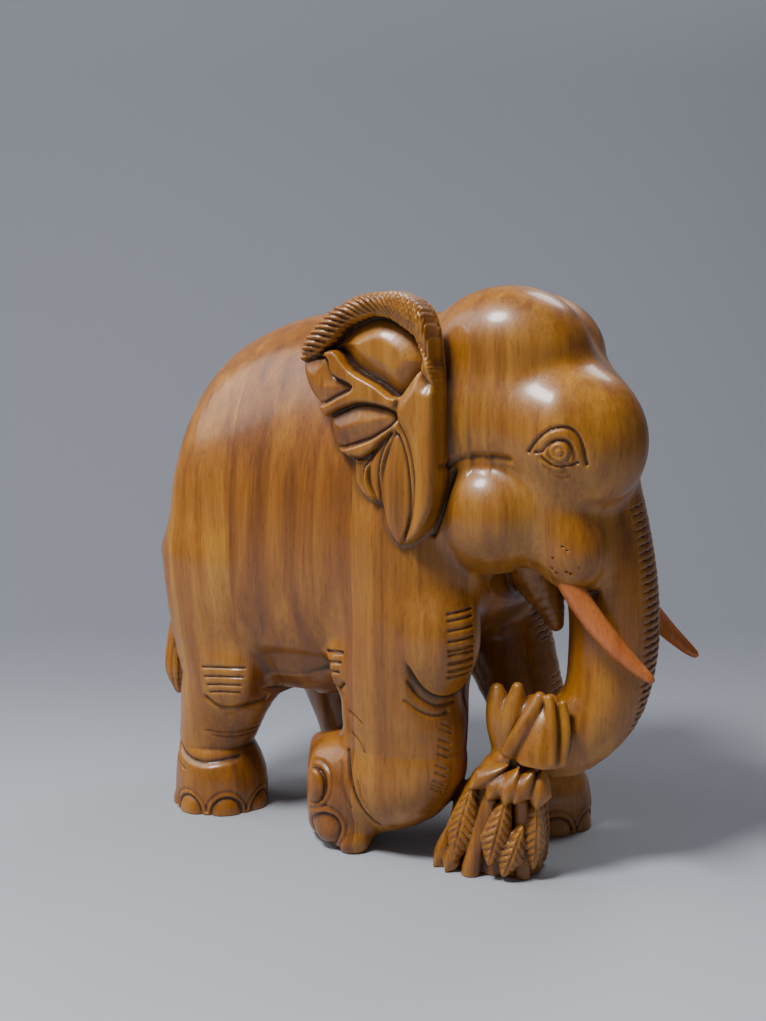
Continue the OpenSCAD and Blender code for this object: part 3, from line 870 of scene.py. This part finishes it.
block = newObject("carvingBlock", solid)
for name, left, right in zip(names, edges[:-1], edges[1:]):
    corners = [(x, y, z) for x in (left, right) for y in (cadLow.y - margin, cadHigh.y + margin)
               for z in (cadLow.z, cadHigh.z + margin)]
    sides = [(0, 1, 3, 2), (4, 6, 7, 5), (0, 4, 5, 1), (2, 3, 7, 6), (0, 2, 6, 4), (1, 5, 7, 3)]
    saw = newObject("saw", newMesh("saw", corners, sides))
    piece = newObject(name.replace("_board", "Board"), solid.copy())
    cutter = piece.modifiers.new("saw", "BOOLEAN")
    cutter.operation, cutter.object, cutter.solver = "INTERSECT", saw, "MANIFOLD"
    graph = bpy.context.evaluated_depsgraph_get()
    mesh = bpy.data.meshes.new_from_object(piece.evaluated_get(graph))
    piece.modifiers.clear()
    piece.data = mesh
    bpy.data.objects.remove(saw)
    title, slot, dark, middle, light, poreAndShadeColour, seed, lean = finishes[name]
    centres = np.empty(len(mesh.polygons) * 3, np.float32)
    mesh.polygons.foreach_get("center", centres)
    centres = centres.reshape(-1, 3)
    flat = (np.abs(centres[:, 0] - left) < 1e-5) | (np.abs(centres[:, 0] - right) < 1e-5) | \
           (centres[:, 2] < cadLow.z + 1e-5)
    mesh.polygons.foreach_set("use_smooth", ~flat)
    # the surface keeps the block's own shading right up to the glue lines
    facing = np.empty(len(mesh.vertices) * 3, np.float32)
    mesh.attributes["facing"].data.foreach_get("vector", facing)
    corners = np.empty(len(mesh.loops), np.int32)
    mesh.loops.foreach_get("vertex_index", corners)
    sizes = np.empty(len(mesh.polygons), np.int32)
    mesh.polygons.foreach_get("loop_total", sizes)
    normals = facing.reshape(-1, 3)[corners]
    faceNormals = np.empty(len(mesh.polygons) * 3, np.float32)
    mesh.polygons.foreach_get("normal", faceNormals)
    onCut = np.repeat(flat, sizes)
    normals[onCut] = np.repeat(faceNormals.reshape(-1, 3), sizes, axis=0)[onCut]
    mesh.normals_split_custom_set(normals.tolist())
    mesh.attributes.remove(mesh.attributes["facing"])
    mesh.materials.clear()
    mesh.materials.append(varnishedWood(title, dark, middle, light, poreAndShadeColour, seed, lean))
    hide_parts(name)
    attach(piece, "root")
    print(name, len(mesh.polygons), "faces")
bpy.data.objects.remove(block)

# tusks

tusk = {
    "root": 5.7,                    # mm of radius
    "socket": 20, "reach": 57,      # mm inside the wood, and from its mouth to the tip
    "start": -56, "bend": 24,       # degrees above the walking direction, and how far it turns up
    "swell": [(0, 1.0), (0.15, 1.0), (0.35, 0.97), (0.55, 0.88), (0.75, 0.7), (0.9, 0.52),
              (0.97, 0.38), (1, 0.2)],
    "mouth": (105, 32, 142),        # of the socket, with y from the middle of the face
    "sides": 40, "rings": 60,
}


def tuskMesh(name, side):
    x, y, z = tusk["mouth"]
    spot = np.array((x, faceY + side * y, z), float)
    start = math.radians(tusk["start"])
    rows = [(spot - tusk["socket"] * np.array((math.cos(start), 0, math.sin(start))), start, tusk["root"])]
    place, step = spot.copy(), tusk["reach"] / tusk["rings"]
    for i in range(tusk["rings"] + 1):
        t = i / tusk["rings"]
        angle = start + math.radians(tusk["bend"]) * t
        rows.append((place.copy(), angle, tusk["root"] * np.interp(t, *zip(*tusk["swell"]))))
        place += step * np.array((math.cos(angle), 0, math.sin(angle)))
    points, faces, n = [], [], tusk["sides"]
    for centre, angle, radius in rows:
        for k in range(n):
            a = 2 * math.pi * k / n
            across = np.array((-math.sin(angle), 0, math.cos(angle))) * math.cos(a) + \
                np.array((0, 1, 0)) * math.sin(a)
            points.append(tuple((centre + radius * across) * mm))
    for i in range(len(rows) - 1):
        for k in range(n):
            j = (k + 1) % n
            faces.append((i * n + k, i * n + j, (i + 1) * n + j, (i + 1) * n + k))
    points += [tuple(rows[0][0] * mm), tuple((rows[-1][0] + (0.5, 0, 0)) * mm)]
    butt, tip, last = len(points) - 2, len(points) - 1, (len(rows) - 1) * n
    for k in range(n):
        j = (k + 1) % n
        faces += [(butt, j, k), (tip, last + k, last + j)]
    mesh = newMesh(name, points, faces)
    mesh.polygons.foreach_set("use_smooth", [True] * len(faces))
    return mesh


tuskWood = varnishedWood("varnishedPadaukRed", "#A5521D", "#BE6C31", "#D08A4C", "#6A2C10", 21)
for side, name in ((-1, "right_tusk"), (1, "left_tusk")):
    piece = newObject(name.replace("_t", "T"), tuskMesh(name, side))
    piece.data.materials.append(tuskWood)
    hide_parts(name)
    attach(piece, "root")
print("tusks turned")

# floor, light and camera

turn = math.radians(32)   # the view is turned this far from the front of the carving's right side
studio = {
    "floor": "#B9BEC6", "backShade": "#7B7E87", "air": "#9A9CA2", "airStrength": 0.36,
    "pale": -0.22, "grey": 0.42,   # metres behind the middle where the painted shade on the paper starts and ends
    # metres: where the paper starts to bend up, the radius of the bend, its top, its near end, half its width
    "away": 0.26, "bend": 0.6, "tall": 2.6, "nearEnd": -3, "wide": 6,
    "bendSteps": 16,
    # lamp: place, width, watts, share of its highlight
    "lamps": {"keyLight": ((-0.2, -0.66, 1.25), 0.35, 20, 1.0),
              "leftLight": ((-0.9, -0.45, 0.9), 0.9, 6, 0.3),
              "backLight": ((0.1, 0.75, 1.2), 0.5, 5, 0.6)},
    "camera": (0.3396, -0.5834, 0.2418), "pitch": 84, "lens": 44.07, "sensor": 36,
}


def paper(name):
    # matt backdrop paper, pale in front and painted darker towards the back, where it hangs, as painted shade
    material = bpy.data.materials.new(name)
    material.use_nodes = True
    tree = material.node_tree
    shader = tree.nodes["Principled BSDF"]
    shader.inputs["Roughness"].default_value = 0.75
    spot = node(tree, "Mapping", [("Vector", node(tree, "TexCoord", out="Object")),
                                  ("Rotation", (0, 0, -turn))])
    far = node(tree, "SeparateXYZ", [("Vector", spot)], out="Y")
    # painted shade: the paper darkens from the floor colour towards the back
    share = node(tree, "MapRange", [("Value", far), ("From Min", studio["pale"]),
                                    ("From Max", studio["grey"])])
    shade = node(tree, "Mix", [("Factor", share), ("A", linear(studio["floor"])),
                               ("B", linear(studio["backShade"]))], data_type="RGBA")
    tree.links.new(shade, shader.inputs["Base Color"])
    return material


profile = [(studio["nearEnd"], 0), (studio["away"], 0)]   # floor, then a bend up into the backdrop
for i in range(1, studio["bendSteps"] + 1):
    a = math.pi / 2 * i / studio["bendSteps"]
    profile.append((studio["away"] + studio["bend"] * math.sin(a), studio["bend"] * (1 - math.cos(a))))
profile.append((studio["away"] + studio["bend"], studio["tall"]))
sweep = [(-far * math.sin(turn) + half * math.cos(turn), far * math.cos(turn) + half * math.sin(turn), up)
         for far, up in profile for half in (-studio["wide"], studio["wide"])]
floorMesh = newMesh("floor", sweep, [(2 * i, 2 * i + 1, 2 * i + 3, 2 * i + 2)
                                     for i in range(len(profile) - 1)])
floorMesh.polygons.foreach_set("use_smooth", [True] * len(floorMesh.polygons))
floor = newObject("studioFloor", floorMesh)
floor.data.materials.append(paper("mattPaperFloor"))

world = bpy.data.worlds.new("studio")
bpy.context.scene.world = world
world.use_nodes = True
world.node_tree.nodes["Background"].inputs["Color"].default_value = linear(studio["air"])
world.node_tree.nodes["Background"].inputs["Strength"].default_value = studio["airStrength"]


def areaLight(name, place, target, size, power, shine):
    light = bpy.data.lights.new(name, "AREA")
    light.shape, light.size, light.energy, light.specular_factor = "DISK", size, power, shine
    lamp = newObject(name, light)
    lamp.location = place
    lamp.rotation_euler = (Vector(target) - Vector(place)).to_track_quat("-Z", "Y").to_euler()


middle = (0, 0, cadHigh.z / 2)
for name, (spot, width, watts, shine) in studio["lamps"].items():
    areaLight(name, spot, middle, width, watts, shine)

camera = bpy.data.cameras.new("camera")
camera.sensor_width = studio["sensor"]
camera.lens = studio["lens"]
viewer = newObject("camera", camera)
viewer.location = studio["camera"]
viewer.rotation_euler = (math.radians(studio["pitch"]), 0, turn)
bpy.context.scene.camera = viewer
print("studio lit")
